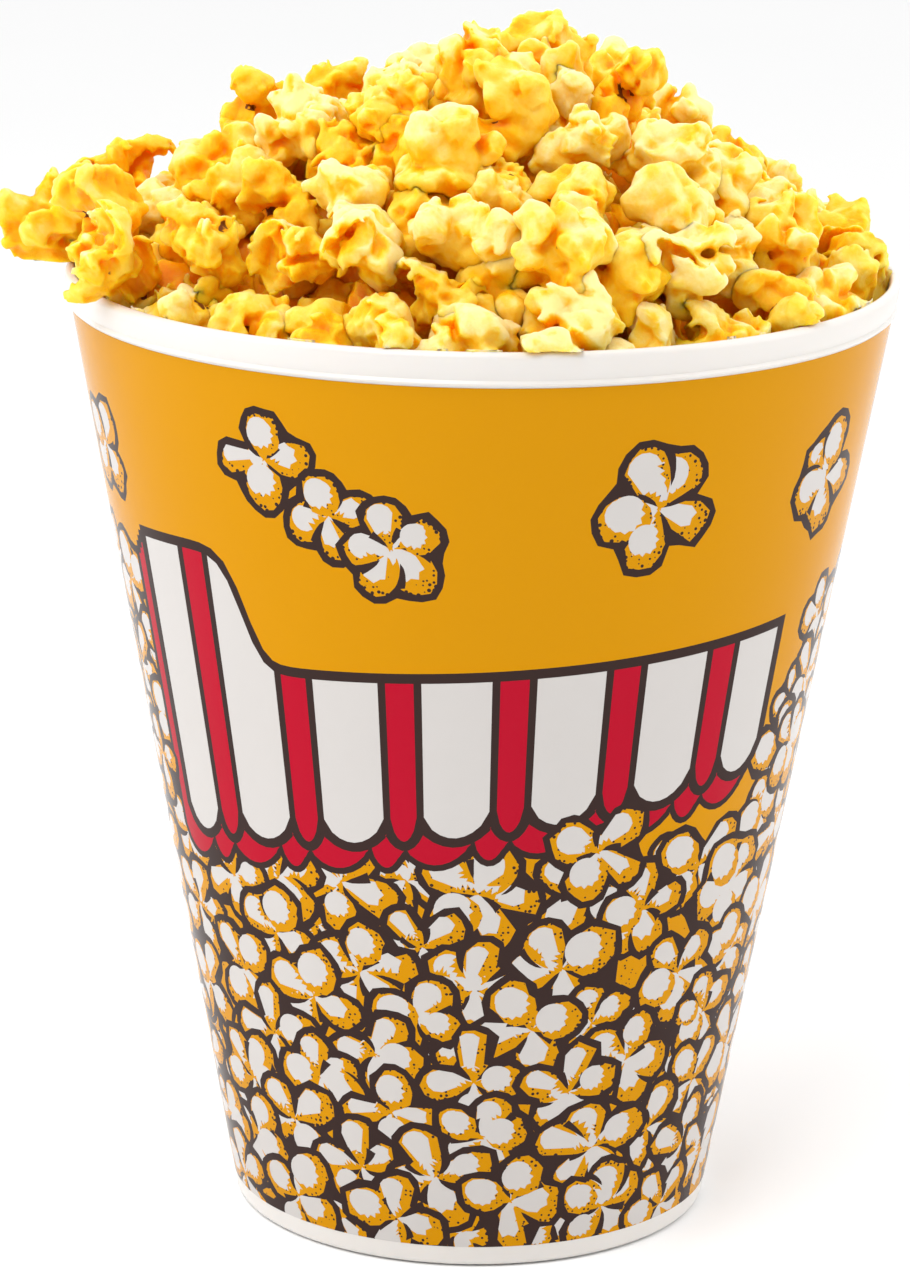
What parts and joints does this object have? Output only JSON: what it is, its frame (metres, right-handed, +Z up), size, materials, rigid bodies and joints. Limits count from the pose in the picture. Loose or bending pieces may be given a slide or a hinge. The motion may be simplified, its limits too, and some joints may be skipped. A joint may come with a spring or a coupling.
{
  "type": "bucket of popcorn",
  "caption": "Tapered round plastic bucket with a plain rim band, filled and heaped above its mouth with popped corn.",
  "frame": {"origin": "centre of the bucket's flat foot, in the plane it stands on", "axes": "+Z up along the bucket's axis, -Y towards the viewer of the print's middle, +X to that viewer's right"},
  "size_m": [0.2018, 0.19, 0.281],
  "materials": {
    "bucket_plastic": "smooth moulded plastic, white inside and at the rim, with a printed pattern of cartoon popcorn on a yellow ground outside",
    "popped_corn": "matt, buttered popcorn, cream on the lobes and deep yellow to orange in the creases"
  },
  "bodies": {
    "root": {"bucket": "bucket_plastic", "popcorn": "popped_corn"}
  },
  "joints": []
}
